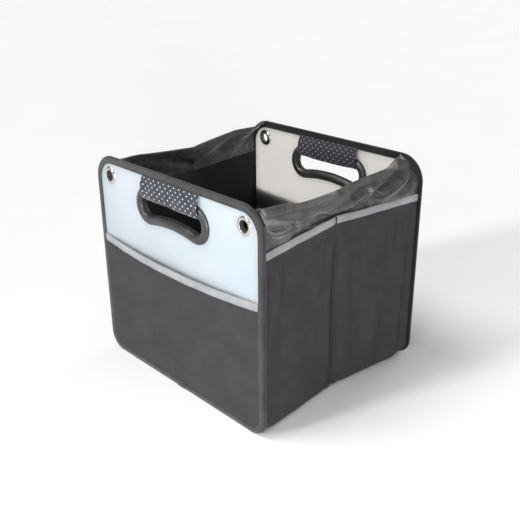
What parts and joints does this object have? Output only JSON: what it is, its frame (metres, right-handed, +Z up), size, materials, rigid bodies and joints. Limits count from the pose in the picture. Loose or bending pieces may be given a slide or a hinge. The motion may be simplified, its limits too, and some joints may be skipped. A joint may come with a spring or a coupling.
{
  "type": "collapsible storage crate",
  "caption": "Folding open-top crate with stiff translucent end panels, hand grips, eyelets, cloth side walls and outside pockets.",
  "frame": {"origin": "on the ground under the middle of the open crate", "axes": "+Z up, -Y out of the front panel, +X towards the right side wall"},
  "size_m": [0.322, 0.3042, 0.29],
  "materials": {
    "panel_sheet": "satin translucent",
    "binding_tape": "ribbed woven",
    "grip_plastic": "satin moulded",
    "wrap_fabric": "dotted canvas",
    "eyelet_metal": "nickel plated",
    "pocket_cloth": "matte twill",
    "trim_tape": "woven tape",
    "band_nylon": "thin shiny nylon",
    "lining_cloth": "matte",
    "board_plastic": "matte",
    "base_cloth": "matte coated"
  },
  "bodies": {
    "front_panel": {"front_binding": "binding_tape", "front_eyelet_washers": "eyelet_metal", "front_eyelets": "eyelet_metal", "front_grip_inner": "grip_plastic", "front_grip_outer": "grip_plastic", "front_pocket": "pocket_cloth", "front_pocket_trim": "trim_tape", "front_sheet": "panel_sheet", "front_wrap": "wrap_fabric"},
    "rear_panel": {"rear_binding": "binding_tape", "rear_eyelet_washers": "eyelet_metal", "rear_eyelets": "eyelet_metal", "rear_grip_inner": "grip_plastic", "rear_grip_outer": "grip_plastic", "rear_pocket": "pocket_cloth", "rear_pocket_trim": "trim_tape", "rear_sheet": "panel_sheet", "rear_wrap": "wrap_fabric"},
    "left_front_wall": {"left_front_board": "board_plastic", "left_front_lining": "lining_cloth", "left_front_outer_cloth": "base_cloth", "left_front_top_band": "band_nylon", "left_front_wall_pocket": "pocket_cloth", "left_front_wall_trim": "trim_tape"},
    "left_rear_wall": {"left_rear_board": "board_plastic", "left_rear_lining": "lining_cloth", "left_rear_outer_cloth": "base_cloth", "left_rear_top_band": "band_nylon", "left_rear_wall_pocket": "pocket_cloth", "left_rear_wall_trim": "trim_tape"},
    "right_front_wall": {"right_front_board": "board_plastic", "right_front_lining": "lining_cloth", "right_front_outer_cloth": "base_cloth", "right_front_top_band": "band_nylon", "right_front_wall_pocket": "pocket_cloth", "right_front_wall_trim": "trim_tape"},
    "right_rear_wall": {"right_rear_board": "board_plastic", "right_rear_lining": "lining_cloth", "right_rear_outer_cloth": "base_cloth", "right_rear_top_band": "band_nylon", "right_rear_wall_pocket": "pocket_cloth", "right_rear_wall_trim": "trim_tape"},
    "floor_front": {"floor_fold_strip": "base_cloth", "floor_front_base_cloth": "base_cloth", "floor_front_board": "board_plastic", "floor_front_lining": "lining_cloth", "left_front_gusset": "pocket_cloth", "right_front_gusset": "pocket_cloth"},
    "floor_rear": {"floor_rear_base_cloth": "base_cloth", "floor_rear_board": "board_plastic", "floor_rear_lining": "lining_cloth", "left_rear_gusset": "pocket_cloth", "right_rear_gusset": "pocket_cloth"}
  },
  "joints": [
    {"name": "crate_fold", "type": "hinge", "parent": "front_panel", "child": "right_front_wall", "pos_m": [0.1543, -0.136, 0], "axis": [0, 0, 1], "range_deg": [0, 77], "deforming": ["left_front_gusset", "left_rear_gusset", "right_front_gusset", "right_rear_gusset", "floor_fold_strip"]},
    {"name": "right_centre_fold", "type": "hinge", "parent": "right_front_wall", "child": "right_rear_wall", "pos_m": [0.1475, 0, 0], "axis": [0, 0, 1], "range_deg": [-154, 0]},
    {"name": "right_rear_hinge", "type": "hinge", "parent": "right_rear_wall", "child": "rear_panel", "pos_m": [0.1543, 0.136, 0], "axis": [0, 0, 1], "range_deg": [0, 77]},
    {"name": "left_front_hinge", "type": "hinge", "parent": "front_panel", "child": "left_front_wall", "pos_m": [-0.1543, -0.136, 0], "axis": [0, 0, -1], "range_deg": [0, 77]},
    {"name": "left_rear_hinge", "type": "hinge", "parent": "rear_panel", "child": "left_rear_wall", "pos_m": [-0.1543, 0.136, 0], "axis": [0, 0, 1], "range_deg": [0, 77]},
    {"name": "floor_front_hinge", "type": "hinge", "parent": "front_panel", "child": "floor_front", "pos_m": [0, -0.132, 0.0045], "axis": [1, 0, 0], "range_deg": [0, 83]},
    {"name": "floor_rear_hinge", "type": "hinge", "parent": "rear_panel", "child": "floor_rear", "pos_m": [0, 0.132, 0.0045], "axis": [-1, 0, 0], "range_deg": [0, 83]}
  ],
  "couplings": [
    {"joint": "right_centre_fold", "follows": "crate_fold", "ratio": -2},
    {"joint": "right_rear_hinge", "follows": "crate_fold", "ratio": 1},
    {"joint": "left_front_hinge", "follows": "crate_fold", "ratio": 1},
    {"joint": "left_rear_hinge", "follows": "crate_fold", "ratio": 1},
    {"joint": "floor_front_hinge", "follows": "crate_fold", "ratio": 1.0779},
    {"joint": "floor_rear_hinge", "follows": "crate_fold", "ratio": 1.0779}
  ]
}
